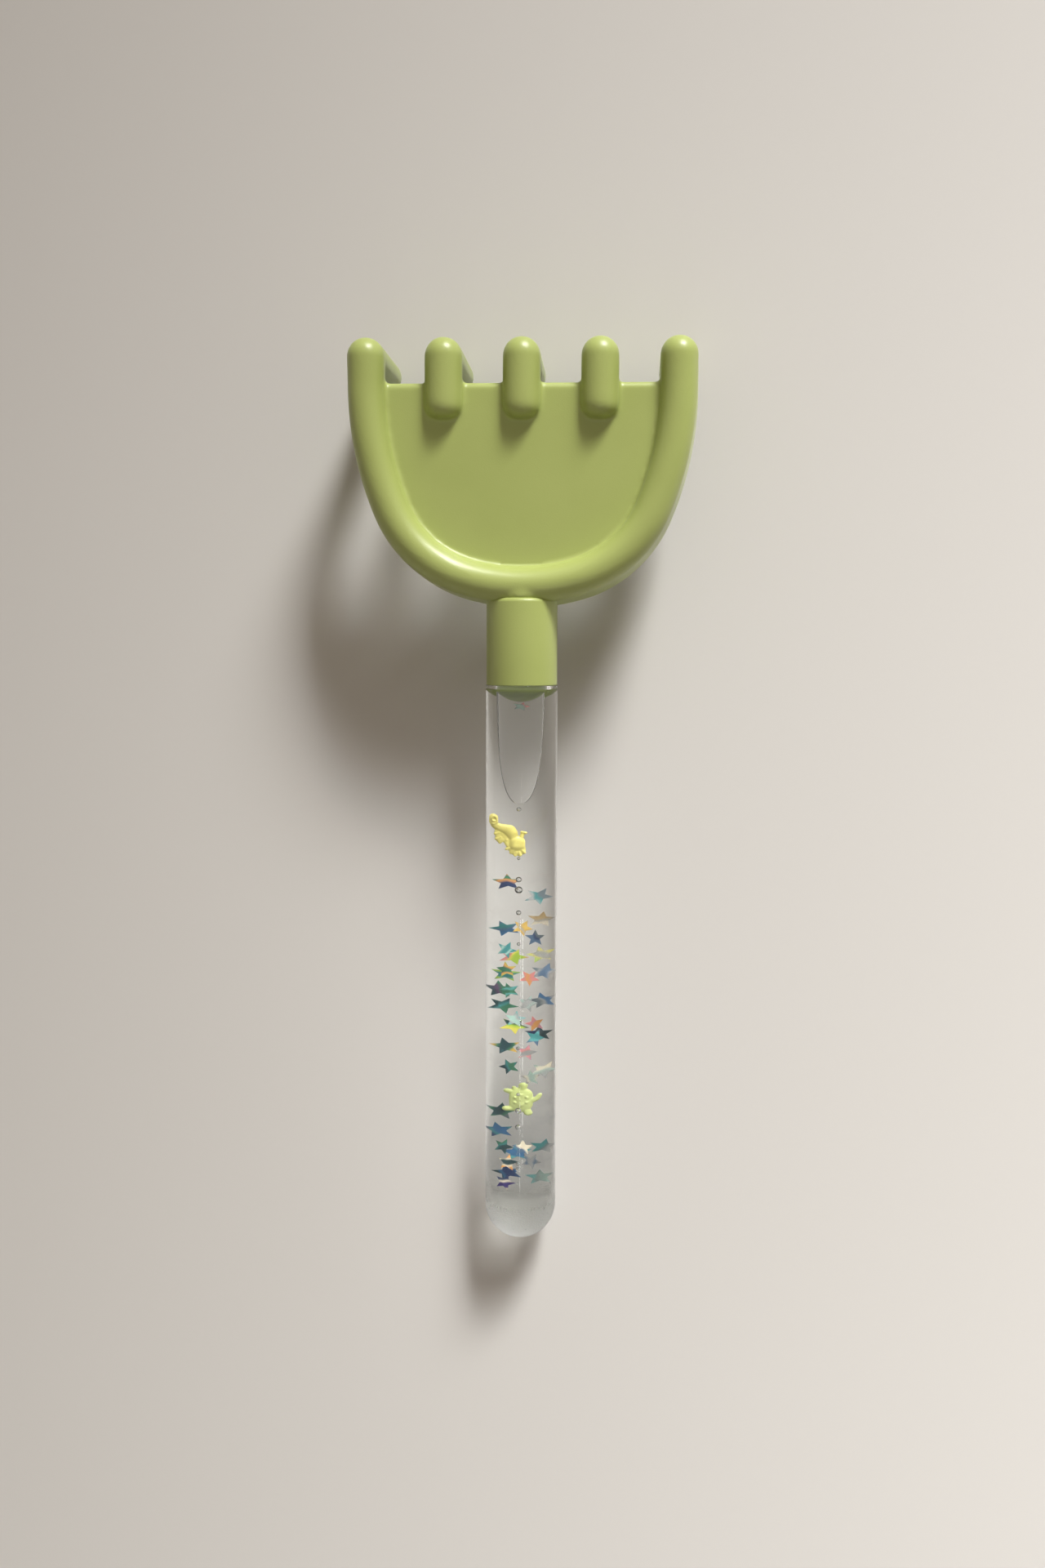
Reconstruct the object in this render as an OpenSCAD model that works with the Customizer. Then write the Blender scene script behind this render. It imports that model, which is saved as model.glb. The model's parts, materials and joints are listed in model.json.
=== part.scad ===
/* [Handle tube] */
// Outer diameter of the clear tube
tube_d = 21; // [18:0.5:24]
// Length of the tube that shows, from the collar to its round tip
tube_len = 166; // [140:0.5:190]
// Wall of the tube
tube_wall = 3.1; // [2.6:0.1:3.6]
// Thickness of the clear plastic that closes the round end
tip_thick = 14; // [11:0.5:20]
// Fillet at the bottom of the bore
bore_fillet = 1; // [0.5:0.1:1.4]
// Length of the thin neck that is glued into the collar
neck_len = 10; // [7:0.5:12]

/* [Collar and plug] */
// Outer diameter of the collar, a little under the tube's
collar_d = 20.6; // [17.6:0.2:23.6]
// Length of the collar
collar_len = 25.2; // [22:0.2:30]
// Wall of the collar
collar_wall = 1.5; // [1.2:0.1:1.8]
// Rounding of the collar's edge next to the head
collar_round = 1.2; // [0.4:0.1:1.4]
// Rounding of the collar's edge next to the tube
collar_edge = 0.3; // [0.1:0.1:0.6]
// How far the plug's shoulder stands in from the collar's edge
plug_depth = 1.1; // [1:0.1:4]
// Height of the plug's domed face
plug_dome = 3.7; // [1.5:0.1:4.5]
// Thickness of the plug's flange over the tube's mouth
plug_flange = 1.8; // [1.2:0.1:2.5]
// Number of sealing ribs round the plug
plug_ribs = 3; // [2:1:4]
// Width of one sealing rib
rib_w = 1.4; // [1:0.1:1.8]
// Height of a sealing rib above the plug's core
rib_h = 0.3; // [0.2:0.05:0.5]

/* [Head] */
// Width of the head over the outer tines
head_w = 100; // [84:1:120]
// Width of the round rim
rim_d = 10.5; // [9:0.5:12]
// Height of the rim's crest above the tube's axis
crest_h = 9.7; // [9:0.1:10.4]
// Distance from the collar to the middle of the rim
rim_gap = 3.5; // [3:0.1:4.5]
// Radius of the rim's middle line beside the collar
bottom_r = 56; // [50:1:60]
// Half angle that the radius beside the collar covers
bottom_angle = 17; // [14:1:20]
// Radius of the rim's middle line at its corners
corner_r = 33.5; // [30:0.5:36]
// Angle at which the corner passes into the long side, where the head is wide enough
corner_angle = 67; // [62:1:70]
// Depth of the head from the rim's middle to the plate's front edge
head_depth = 57.5; // [54:0.5:70]
// Wall of the rim, skirt and ribs
wall = 2.3; // [1.8:0.1:2.8]
// How far the skirt hangs below the tube's axis
skirt_drop = 13; // [12.6:0.1:16]
// How far the skirt's foot stands out past the rim
skirt_flare = 0.9; // [0:0.1:1.5]
// Thickness of the plate
plate_t = 2.4; // [1.8:0.1:3]
// How far the plate's face lies under the rim's middle height
plate_sink = 0.1; // [0:0.1:0.8]
// Radius of the rounded front edge of the plate
bead_r = 1.7; // [1.2:0.1:2.2]
// Depth of the ribs under the plate
rib_drop = 7; // [4:0.5:9]

/* [Tines] */
// Number of tines
tine_count = 5; // [3:1:6]
// Diameter of a tine at its bend
tine_d = 10.8; // [9:0.2:11.6]
// Diameter of a tine at its tip
tip_d = 10; // [8:0.2:10.8]
// Length of a tine from the middle of its bend to its tip
tine_len = 42; // [34:0.5:52]
// How far the tines stand in front of the plate
tine_reach = 7.2; // [6.6:0.1:9]
// How far the middle tines' round roots run back over the plate
root_len = 5; // [3:0.5:12]
// How far down a tine its gusset runs
gusset_drop = 16; // [10:0.5:22]

/* [Floating pieces] */
// Point to point radius of a star
star_r = 2.6; // [2:0.1:2.7]
// Radius of the notches of a star
star_notch_r = 1.16; // [0.8:0.02:1.4]
// Thickness of a star's film
star_t = 0.1; // [0.08:0.01:0.15]
// Thickness of the seahorse and of the turtle
toy_t = 2.1; // [1.6:0.1:2.2]
// Length of the seahorse
seahorse_len = 12.6; // [10:0.1:12.8]
// Length of the turtle
turtle_len = 10.6; // [8:0.1:12]
// Length of the air bubble on the top of the liquid
bubble_len = 33.4; // [20:0.2:40]

/* [Fits] */
// Glue gap round the tube's neck and the head's spigot
glue_gap = 0.05; // [0.03:0.01:0.1]
// Gap between the spigot's end and the plug
end_gap = 0.4; // [0.2:0.1:1]
// Gap between the collar's end and its pocket in the head
pocket_gap = 0.1; // [0.06:0.02:0.2]
// Film of liquid round a floating piece
float_gap = 0.03; // [0.02:0.01:0.06]
// Least distance between the lanes in which the floating pieces drift
lane_gap = 0.3; // [0.2:0.05:0.5]

/* [Hidden] */
// Overrun of a cut past the face that it opens
over = 1;
// Facets of a full circle
$fn = 72;

// Tube: its bore, and the ends of the liquid's space
tube_r = tube_d / 2;
bore_r = tube_r - tube_wall;
collar_r = collar_d / 2;
neck_r = collar_r - collar_wall - glue_gap;
bore_end = -(tube_len - tip_thick);
bore_len = -bore_end - plug_depth;

// Head: heights over the tube's axis and places along it
rim_r = rim_d / 2;
rim_z = crest_h - rim_r;
rim_y = collar_len + rim_gap;
front_y = rim_y + head_depth;
tine_r = tine_d / 2;
tip_r = tip_d / 2;
tine_y = front_y + tine_reach;
tine_z = rim_z;
tip_z = tine_z - (tine_len - tip_r);
plate_top = rim_z - plate_sink;
boss_r = crest_h - pocket_gap / 2;
spigot_r = neck_r;
side_x = head_w / 2 - tine_r;

// The rim's middle line is three arcs on each side, each tangent to the next. On a narrow head the corner
// passes into the side earlier, so that the side's radius never falls under a share of the corner's.
least_side_share = 0.5;
bottom_c = [0, rim_y + bottom_r];
corner_c = bottom_c + (bottom_r - corner_r) * down(bottom_angle);
side_reach_share = (side_x - corner_c[0]) / corner_r;
turn_limit = asin(min(1, (side_reach_share - least_side_share) / (1 - least_side_share)));
corner_turn = min(corner_angle, turn_limit);
side_r = (side_x - corner_c[0] - corner_r * sin(corner_turn)) / (1 - sin(corner_turn));
side_c = corner_c + (corner_r - side_r) * down(corner_turn);

// Stations of the middle line, first of the right half and then of the whole rim
arc_steps = 5;
rim_half = concat(
    arc(bottom_c, bottom_r, 0, bottom_angle, arc_steps),
    arc(corner_c, corner_r, bottom_angle, corner_turn, 2 * arc_steps),
    arc(side_c, side_r, corner_turn, 90, arc_steps),
    [[side_x, side_c[1], 90], [side_x, tine_y, 90]]
);
rim_path = concat(mirrored(rim_half), rim_half);

// Section of the rim and its skirt, as places outward from the middle line and heights
round_steps = 12;
rim_section = concat(
    [[-rim_r, plate_top - plate_t]],
    half_round(rim_r, 0, 180),
    [[rim_r + skirt_flare, -skirt_drop], [rim_r + skirt_flare - wall, -skirt_drop]],
    half_round(rim_r - wall, 180, 0),
    [[wall - rim_r, plate_top - plate_t]]
);

// At rest the tine tips and the round end of the tube lie on one flat surface
rest_run = tine_y + tube_len - tube_r;
rest_tilt = atan2(-tip_z, rest_run) - asin((tube_r - tip_r) / norm([rest_run, tip_z]));
lift = (tube_len - tube_r) * sin(rest_tilt) + tube_r;
high_y = tine_y * cos(rest_tilt) - tip_z * sin(rest_tilt) + tip_r;
low_y = -(tube_len - tube_r) * cos(rest_tilt) - tube_r;
mid_y = (high_y + low_y) / 2;

// Lanes of the floating pieces: the seahorse above the axis, the turtle below it, the stars outside both
seahorse_z = lane_gap / 2 + toy_t / 2;
turtle_z = -seahorse_z;
star_lane_z = 0.49 * bore_r;

// Places of the seahorse and of the turtle: share of the bore's length and share of its radius
seahorse_share = [0.287, -0.32];
turtle_share = [0.81, -0.05];

// Discs of the seahorse, from its tail to its snout: places and radii as shares of its length, and
// thicknesses as shares of the toys' thickness
seahorse_body_shares = [
    [-0.230, 0.445, 0.127, 0.8],
    [-0.160, 0.246, 0.107, 0.8],
    [-0.087, 0.095, 0.175, 1],
    [0.024, -0.008, 0.167, 1],
    [0.135, -0.167, 0.190, 1],
    [0.262, 0.095, 0.067, 0.7]
];
// Its back fin and crown: places of the fingers, written in the same way
seahorse_fringe_shares = [
    [-0.230, 0.048, 0.063, 0.5],
    [-0.167, -0.071, 0.063, 0.5],
    [-0.087, -0.151, 0.063, 0.5],
    [0.008, -0.333, 0.048, 0.6],
    [0.095, -0.381, 0.048, 0.6],
    [0.190, -0.381, 0.048, 0.6],
    [0.278, -0.317, 0.048, 0.6]
];
// Turtle: its shell's two discs, then its head, written in the same way by its own length
turtle_body_shares = [
    [0, 0.07, 0.226, 1],
    [0, -0.07, 0.226, 1],
    [0.03, 0.38, 0.10, 0.8]
];
// Flippers of the turtle: place of the root, place of the tip, and radius of the tip
flipper_shares = [
    [-0.12, 0.14, -0.32, 0.19, 0.085],
    [0.14, 0.07, 0.36, 0.095, 0.075],
    [-0.12, -0.16, -0.30, -0.31, 0.090],
    [0.07, -0.22, 0.13, -0.41, 0.085]
];
// Width of the bars that join neighbouring discs, as a share of the smaller disc
bar_share = 1.5;

// Places of the stars: share of the bore's length, share of its radius, lane, spin and tilt in degrees
star_place_shares = [
    [0.378, -0.33, -1, 40, 12],
    [0.406, 0.36, -1, 10, -14],
    [0.452, 0.43, -1, 25, 10],
    [0.462, 0.08, 1, 8, -16],
    [0.470, -0.38, -1, 60, 15],
    [0.482, 0.49, 1, 35, 8],
    [0.506, -0.43, 1, 12, -10],
    [0.522, 0.42, -1, 50, -18],
    [0.526, -0.20, -1, 15, 14],
    [0.545, -0.43, 1, 44, 12],
    [0.557, 0.50, -1, 20, -8],
    [0.560, -0.36, -1, 30, 8],
    [0.561, 0.30, 1, 0, 10],
    [0.586, -0.33, 1, 55, 15],
    [0.592, -0.50, -1, 38, -12],
    [0.612, 0.25, 1, 18, -14],
    [0.614, 0.46, -1, 45, 10],
    [0.624, -0.42, -1, 12, 8],
    [0.643, -0.14, 1, 28, -12],
    [0.652, 0.49, 1, 50, 14],
    [0.664, -0.18, -1, 5, -10],
    [0.680, 0.38, -1, 33, 16],
    [0.680, 0.50, 1, 15, -8],
    [0.706, -0.36, -1, 48, -12],
    [0.709, 0.22, 1, 22, 10],
    [0.738, -0.33, 1, 58, 14],
    [0.755, 0.49, -1, 10, -14],
    [0.760, 0.36, 1, 40, 9],
    [0.838, -0.45, -1, 30, -10],
    [0.877, -0.50, -1, 52, 12],
    [0.899, -0.52, 1, 14, 8],
    [0.901, 0.10, 1, 36, -12],
    [0.910, 0.48, -1, 20, 14],
    [0.921, -0.11, -1, 42, -10],
    [0.928, 0.38, 1, 6, 12],
    [0.931, -0.36, 1, 26, -14],
    [0.962, -0.30, -1, 54, 10],
    [0.972, -0.46, 1, 16, -8],
    [0.972, 0.40, -1, 34, 12]
];
// Height share, spin and tilt of the one star that clings to the plug's dome
cling_share = [0.12, 18, 58];

loose = len(star_place_shares);

// Name of a loose star, counted from the plug
function star_name(i) = str("star_", i < 9 ? "0" : "", i + 1);

// Unit vector that points down the page and turns toward the right by an angle
function down(angle) = [sin(angle), -cos(angle)];

// Stations along an arc about a centre, each a place and the angle that it faces
function arc(c, r, a0, a1, steps) = [
    for (i = [0:steps - 1])
        let (a = a0 + (a1 - a0) * i / steps)
            concat(c + r * down(a), a)
];

// Mirror image of a list of stations, without the first one, in turned order
function mirrored(stations) = [
    for (i = [len(stations) - 1:-1:1])
        [-stations[i][0], stations[i][1], -stations[i][2]]
];

// Outline that runs beside the rim's middle line, nearer the plate by a distance
function beside_rim(inset) = [for (s = rim_path) [s[0], s[1]] - inset * down(s[2])];

// Points of a half round over the rim, between two angles; across is outward and up is along the z axis
function half_round(r, a0, a1) = [
    for (i = [0:round_steps])
        let (a = a0 + (a1 - a0) * i / round_steps)
            [-r * cos(a), rim_z + r * sin(a)]
];

// Stands the whole rake on its tine tips and the end of its handle
module at_rest() {
    translate([0, -mid_y, lift])
        rotate([rest_tilt, 0, 0])
            children();
}

// Cylinder along the handle between two places
module along(r, y0, y1) {
    translate([0, y0, 0])
        rotate([-90, 0, 0])
            cylinder(r = r, h = y1 - y0);
}

// Adds a child and its mirror image across the middle of the rake
module both_sides() {
    children();
    mirror([1, 0, 0])
        children();
}

// The round rim and its skirt: one channel section carried along the rim's middle line
module rim() {
    count = len(rim_path);
    size = len(rim_section);
    points = [
        for (s = rim_path, q = rim_section)
            [s[0] + q[0] * down(s[2])[0], s[1] + q[0] * down(s[2])[1], q[1]]
    ];
    sides = [
        for (i = [0:count - 2], j = [0:size - 1])
            let (k = (j + 1) % size)
                [i * size + j, (i + 1) * size + j, (i + 1) * size + k, i * size + k]
    ];
    first = [for (j = [0:size - 1]) j];
    last = [for (j = [size - 1:-1:0]) (count - 1) * size + j];
    polyhedron(points = points, faces = concat([first], sides, [last]));
}

// The plate and its rounded front edge
module plate() {
    translate([0, 0, plate_top - plate_t])
        linear_extrude(height = plate_t)
            intersection() {
                polygon(beside_rim(rim_r - wall / 2));
                translate([-side_x, 0])
                    square([2 * side_x, front_y - bead_r]);
            }
    translate([-side_x, front_y - bead_r, plate_top - bead_r])
        rotate([0, 90, 0])
            cylinder(r = bead_r, h = 2 * side_x);
}

// Ribs under the plate: one on the middle line and one across behind the tines
module plate_ribs() {
    under = plate_top - plate_t;
    cross_y = front_y - root_len - tine_r;
    translate([-wall / 2, rim_y, under - rib_drop])
        cube([wall, cross_y - rim_y, rib_drop + plate_t / 2]);
    translate([-side_x, cross_y, under - rib_drop])
        cube([2 * side_x, wall, rib_drop + plate_t / 2]);
}

// One tine: its level root, its bend and its long finger
module tine(back_y) {
    along(tine_r, back_y, tine_y, $fn = 48);
    translate([0, back_y, 0])
        sphere(r = tine_r, $fn = 48);
    translate([0, tine_y, 0])
        sphere(r = tine_r, $fn = 48);
    translate([0, tine_y, tip_z - tine_z])
        cylinder(r1 = tip_r, r2 = tine_r, h = tine_z - tip_z, $fn = 48);
    translate([0, tine_y, tip_z - tine_z])
        sphere(r = tip_r, $fn = 48);
}

// Web that braces a tine against the cross rib
module gusset() {
    cross_y = front_y - root_len - tine_r;
    translate([wall / 2, 0, 0])
        rotate([90, 0, -90])
            linear_extrude(height = wall)
                polygon([
                    [-cross_y, plate_top - plate_t / 2],
                    [-tine_y, plate_top - plate_t / 2],
                    [-tine_y, -gusset_drop],
                    [-tine_y + tine_r / 2, -gusset_drop],
                    [-cross_y, plate_top - plate_t - rib_drop]
                ]);
}

// Head: one moulding with a plate, a round rim with a skirt, the tines and the spigot for the collar
module rake_head() {
    color("yellowgreen")
        at_rest()
            difference() {
                union() {
                    plate();
                    plate_ribs();
                    rim();
                    both_sides()
                        translate([side_x, 0, tine_z])
                            tine(tine_y - tine_reach);
                    for (i = [1:tine_count - 2]) {
                        x = side_x * (2 * i / (tine_count - 1) - 1);
                        translate([x, 0, tine_z])
                            tine(front_y - root_len);
                        translate([x, 0, 0])
                            gusset();
                    }
                    along(boss_r, collar_len, rim_y);
                    along(spigot_r, neck_len + plug_flange + end_gap, rim_y);
                }
                // Pocket that seats the collar's end
                difference() {
                    along(collar_r + pocket_gap, 0, collar_len);
                    along(spigot_r, 0, collar_len + over);
                }
                // Core that keeps the spigot's wall even
                along(spigot_r - wall, 0, collar_len - wall);
            }
}

// Collar: a sleeve that joins the head's spigot to the tube's neck, with both outer edges rounded
module collar() {
    color("yellowgreen")
        at_rest()
            rotate([-90, 0, 0])
                rotate_extrude()
                    difference() {
                        translate([spigot_r + glue_gap, 0])
                            square([collar_wall, collar_len]);
                        rounded_corner([collar_r, 0], collar_edge, -1);
                        rounded_corner([collar_r, collar_len], collar_round, 1);
                    }
}

// Cut that rounds an outer corner; side is 1 for a top corner and -1 for a bottom one
module rounded_corner(corner, r, side) {
    difference() {
        translate([corner[0] - r, side > 0 ? corner[1] - r : corner[1] - over])
            square([r + over, r + over]);
        translate([corner[0] - r, corner[1] - side * r])
            circle(r = r, $fn = 48);
    }
}

// Tube: thick clear plastic with a round solid end and a thin neck at its mouth
module handle_tube() {
    color("lightcyan", 0.35)
        at_rest()
            difference() {
                union() {
                    along(tube_r, -(tube_len - tube_r), 0);
                    translate([0, -(tube_len - tube_r), 0])
                        sphere(r = tube_r);
                    along(neck_r, -over, neck_len);
                }
                along(bore_r, bore_end + bore_fillet, neck_len + over);
                along(bore_r - bore_fillet, bore_end, bore_end + 2 * bore_fillet);
                bore_corner();
            }
}

// Rounded corner ring at the bottom of the bore
module bore_corner() {
    translate([0, bore_end + bore_fillet, 0])
        rotate([-90, 0, 0])
            rotate_extrude()
                translate([bore_r - bore_fillet, 0])
                    circle(r = bore_fillet, $fn = 32);
}

// Plug: a domed stopper with sealing ribs and a flange that sits on the tube's mouth
module tube_plug() {
    dome_r = (bore_r * bore_r + plug_dome * plug_dome) / (2 * plug_dome);
    rib_step = (neck_len + plug_depth - rib_w) / plug_ribs;
    color("olivedrab")
        at_rest() {
            intersection() {
                translate([0, dome_r - plug_depth - plug_dome, 0])
                    sphere(r = dome_r);
                along(bore_r, -plug_depth - plug_dome - over, -plug_depth + rib_w);
            }
            along(bore_r - rib_h, -plug_depth, neck_len + plug_flange);
            for (i = [1:plug_ribs])
                along(bore_r, i * rib_step - plug_depth, i * rib_step - plug_depth + rib_w);
            along(neck_r, neck_len, neck_len + plug_flange);
        }
}

// Space for the liquid, behind the plug's dome
module bore_space() {
    dome_r = (bore_r * bore_r + plug_dome * plug_dome) / (2 * plug_dome);
    difference() {
        union() {
            along(bore_r, bore_end + bore_fillet, -plug_depth);
            along(bore_r - bore_fillet, bore_end, bore_end + 2 * bore_fillet);
            bore_corner();
        }
        translate([0, dome_r - plug_depth - plug_dome, 0])
            sphere(r = dome_r);
    }
}

// Liquid: fills the bore up to its own level, with a pocket for each floating piece
module liquid() {
    tip_y = -plug_depth - bubble_len;
    color("aliceblue", 0.3)
        at_rest()
            difference() {
                bore_space();
                translate([0, tip_y, bore_r])
                    rotate([-rest_tilt, 0, 0])
                        translate([-tube_d, -tube_d, 0])
                            cube([2 * tube_d, 2 * tube_d + bubble_len, tube_d]);
                at_place(seahorse_share, seahorse_z)
                    seahorse_body(float_gap);
                at_place(turtle_share, turtle_z)
                    turtle_body(float_gap);
                for (i = [0:loose - 1])
                    star_at(i, float_gap);
                clinging_star(float_gap);
            }
}

// Moves a flat piece to its share of the bore's length and radius, at a height
module at_place(share, z) {
    translate([share[1] * bore_r, -plug_depth - share[0] * bore_len, z])
        children();
}

// Flat disc of a toy: a row of shares of the toy's length, grown by the film of liquid
module toy_disc(row, len, grow) {
    h = toy_t * row[3] + 2 * grow;
    translate([row[0] * len, row[1] * len, -h / 2])
        cylinder(r = row[2] * len + grow, h = h, $fn = 40);
}

// Flat bar between two discs of a toy, as thick as the thinner one
module toy_bar(from, to, len, grow) {
    h = toy_t * min(from[3], to[3]) + 2 * grow;
    w = bar_share * min(from[2], to[2]) * len + 2 * grow;
    run = [to[0] - from[0], to[1] - from[1]] * len;
    translate([from[0] * len, from[1] * len, -h / 2])
        rotate([0, 0, atan2(run[1], run[0])])
            translate([0, -w / 2, 0])
                cube([norm(run), w, h]);
}

// Seahorse, head down: curled tail, body, back fin, head with a snout and a crown
module seahorse_body(grow = 0) {
    count = len(seahorse_body_shares);
    for (i = [0:count - 1])
        toy_disc(seahorse_body_shares[i], seahorse_len, grow);
    for (i = [0:count - 2])
        toy_bar(seahorse_body_shares[i], seahorse_body_shares[i + 1], seahorse_len, grow);
    for (row = seahorse_fringe_shares)
        toy_disc(row, seahorse_len, grow);
}

// Turtle, head toward the plug: oval shell, head and four flippers
module turtle_body(grow = 0) {
    for (row = turtle_body_shares)
        toy_disc(row, turtle_len, grow);
    toy_bar(turtle_body_shares[0], turtle_body_shares[2], turtle_len, grow);
    for (f = flipper_shares) {
        tip = [f[2], f[3], f[4], 0.5];
        toy_disc(tip, turtle_len, grow);
        toy_bar([f[0], f[1], f[4], 0.5], tip, turtle_len, grow);
    }
}

// Seahorse: a small moulded figure that floats in the tube
module seahorse() {
    color("khaki")
        at_rest()
            at_place(seahorse_share, seahorse_z)
                seahorse_body();
}

// Turtle: a small moulded figure that floats in the tube
module turtle() {
    color("greenyellow")
        at_rest()
            at_place(turtle_share, turtle_z)
                turtle_body();
}

// Flat five-pointed star of film
module star_plate(grow = 0) {
    translate([0, 0, -star_t / 2 - grow])
        linear_extrude(height = star_t + 2 * grow)
            polygon([for (k = [0:9]) (grow + (k % 2 == 0 ? star_r : star_notch_r)) * down(k * 36)]);
}

// One loose star at its place in the liquid
module star_at(i, grow = 0) {
    row = star_place_shares[i];
    at_place(row, row[2] * star_lane_z)
        rotate([row[4], 0, 0])
            rotate([0, 0, row[3]])
                star_plate(grow);
}

// The star that clings to the plug's dome by one point
module clinging_star(grow = 0) {
    translate([0, -plug_depth - plug_dome - star_r * cos(cling_share[2]), cling_share[0] * bore_r])
        rotate([cling_share[2], 0, 0])
            rotate([0, 0, cling_share[1]])
                star_plate(grow);
}

module star_on_plug() {
    color("paleturquoise")
        at_rest()
            clinging_star();
}

module star(i) {
    color(["steelblue", "salmon", "seagreen", "gold", "slategray"][i % 5])
        at_rest()
            star_at(i);
}

rake_head();
collar();
handle_tube();
tube_plug();
liquid();
seahorse();
turtle();
star_on_plug();
for (i = [0:loose - 1])
    star(i);
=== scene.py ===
import json
import math

import bpy
import mathutils
import numpy as np
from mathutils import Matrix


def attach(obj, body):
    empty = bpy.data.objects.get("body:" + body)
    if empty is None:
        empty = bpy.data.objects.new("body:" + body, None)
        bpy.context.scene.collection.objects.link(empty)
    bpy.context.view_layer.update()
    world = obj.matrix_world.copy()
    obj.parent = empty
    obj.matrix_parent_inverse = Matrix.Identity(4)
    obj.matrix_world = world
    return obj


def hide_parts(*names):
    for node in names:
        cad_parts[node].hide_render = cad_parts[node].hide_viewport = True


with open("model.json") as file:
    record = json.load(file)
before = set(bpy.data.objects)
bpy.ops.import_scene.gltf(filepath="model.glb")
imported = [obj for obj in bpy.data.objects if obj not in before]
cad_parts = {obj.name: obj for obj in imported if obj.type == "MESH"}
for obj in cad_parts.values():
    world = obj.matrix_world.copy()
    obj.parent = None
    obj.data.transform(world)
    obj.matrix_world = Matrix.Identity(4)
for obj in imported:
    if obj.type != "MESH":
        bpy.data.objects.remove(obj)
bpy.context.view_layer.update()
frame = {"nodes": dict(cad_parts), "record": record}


# How the rake lies. It rests on its tine tips and on the round end of its tube, so the tube is tilted.
# The record's grip is the straight part of the tube: its upper end is where the collar begins. Every
# piece below is worked out in millimetres from there: across, toward the head, and up from the axis.
MM = 0.001
pole_r = 0.02  # radius of a ring that stands for a pole
grip = next(mount for mount in frame["record"]["mounts"] if mount["name"] == "handle_grip")
tube_r = grip["dims"]["r_mm"]
straight_len = grip["dims"]["length_mm"]
toward_head = -np.array(grip["axis"]) / np.linalg.norm(grip["axis"])
upward = np.array([0.0, -toward_head[2], toward_head[1]])
collar_joint = np.array(grip["pos_m"]) + toward_head * straight_len / 2 * MM


def lay(points):
    """Rake places in mm as row places in m: joint + x along X + y toward the head + z upward."""
    points = np.asarray(points, float) * MM
    across = np.array([1.0, 0.0, 0.0])
    return collar_joint + points[..., :1] * across + points[..., 1:2] * toward_head + points[..., 2:] * upward


# The head is one moulding in green plastic: a plate in a round rim, a skirt that hangs from the rim, five
# tines, and a spigot that is glued into the collar. The surfaces below overlap, and are then cast as one
# skin, which leaves the soft inner corners that a mould leaves.
head_w = 100.0
rim_r = 5.25
crest_z = 9.7
rim_z = crest_z - rim_r
rim_y = 28.7
bottom_r, corner_r = 56.0, 33.5
bottom_turn, corner_turn = math.radians(17.0), math.radians(67.0)
head_depth = 57.5
wall = 2.3
skirt_foot_z = -13.0
skirt_flare = 0.9
plate_sink = 0.1
plate_top = rim_z - plate_sink
plate_t = 2.4
bead_r = 1.7
rib_drop = 7.0
tine_count = 5
tine_r, tip_r = 5.4, 5.0
tine_len = 42.0
tine_reach = 7.2
root_len = 5.0
gusset_foot_z = -16.0
spigot_r, boss_r = 8.75, 9.65
spigot_sink, boss_sink = 0.8, 0.4
boss_gap = 0.05
collar_len = 25.2
neck_len = 10.0
plug_flange = 1.8
front_y = rim_y + head_depth
tine_y = front_y + tine_reach
side_x = head_w / 2 - tine_r
tine_xs = np.linspace(-side_x, side_x, tine_count)
cross_rib_y = front_y - root_len - tine_r
skin_voxel, skin_rounds = 0.60 * MM, 3


def from_down(angle):
    """Unit vectors that point down the page at angle 0 and turn toward the right: (sin a, -cos a)."""
    return np.stack([np.sin(angle), -np.cos(angle)], axis=-1)


def rim_line(steps):
    """Right half of the rim's middle line: three arcs c + r (sin a, -cos a), each tangent to the next,
    then a straight end. Gives the places and the angle that each faces."""
    bottom_c = np.array([0.0, rim_y + bottom_r])
    corner_c = bottom_c + (bottom_r - corner_r) * from_down(bottom_turn)
    reach = side_x - corner_c[0] - corner_r * math.sin(corner_turn)
    side_r = reach / (1 - math.sin(corner_turn))
    side_c = corner_c + (corner_r - side_r) * from_down(corner_turn)
    places, facings, end_steps = [], [], 6
    arcs = ((bottom_c, bottom_r, 0.0, bottom_turn), (corner_c, corner_r, bottom_turn, corner_turn),
            (side_c, side_r, corner_turn, math.pi / 2))
    for centre, r, start, end in arcs:
        angle = np.linspace(start, end, steps, endpoint=False)
        places.append(centre + r * from_down(angle))
        facings.append(angle)
    end_y = np.linspace(side_c[1], tine_y, end_steps)
    places.append(np.stack([np.full(end_steps, side_x), end_y], axis=-1))
    facings.append(np.full(end_steps, math.pi / 2))
    return np.concatenate(places), np.concatenate(facings)


def both_halves(places, facings):
    """The whole line from its right half: the mirror image in turned order, then the half itself."""
    left = places[:0:-1] * [-1, 1]
    return np.concatenate([left, places]), np.concatenate([-facings[:0:-1], facings])


def skin(rings, closed_ends=True):
    """Faces of a stack of equal rings: quads between neighbours, and a flat cap on each end ring."""
    count, size = rings.shape[:2]
    i, j = np.meshgrid(np.arange(count - 1), np.arange(size), indexing="ij")
    k = (j + 1) % size
    quads = np.stack([i * size + j, (i + 1) * size + j, (i + 1) * size + k, i * size + k], axis=-1)
    faces = quads.reshape(-1, 4).tolist()
    if closed_ends:
        faces.append(list(range(size)))
        faces.append([(count - 1) * size + n for n in range(size)][::-1])
    return faces


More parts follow.
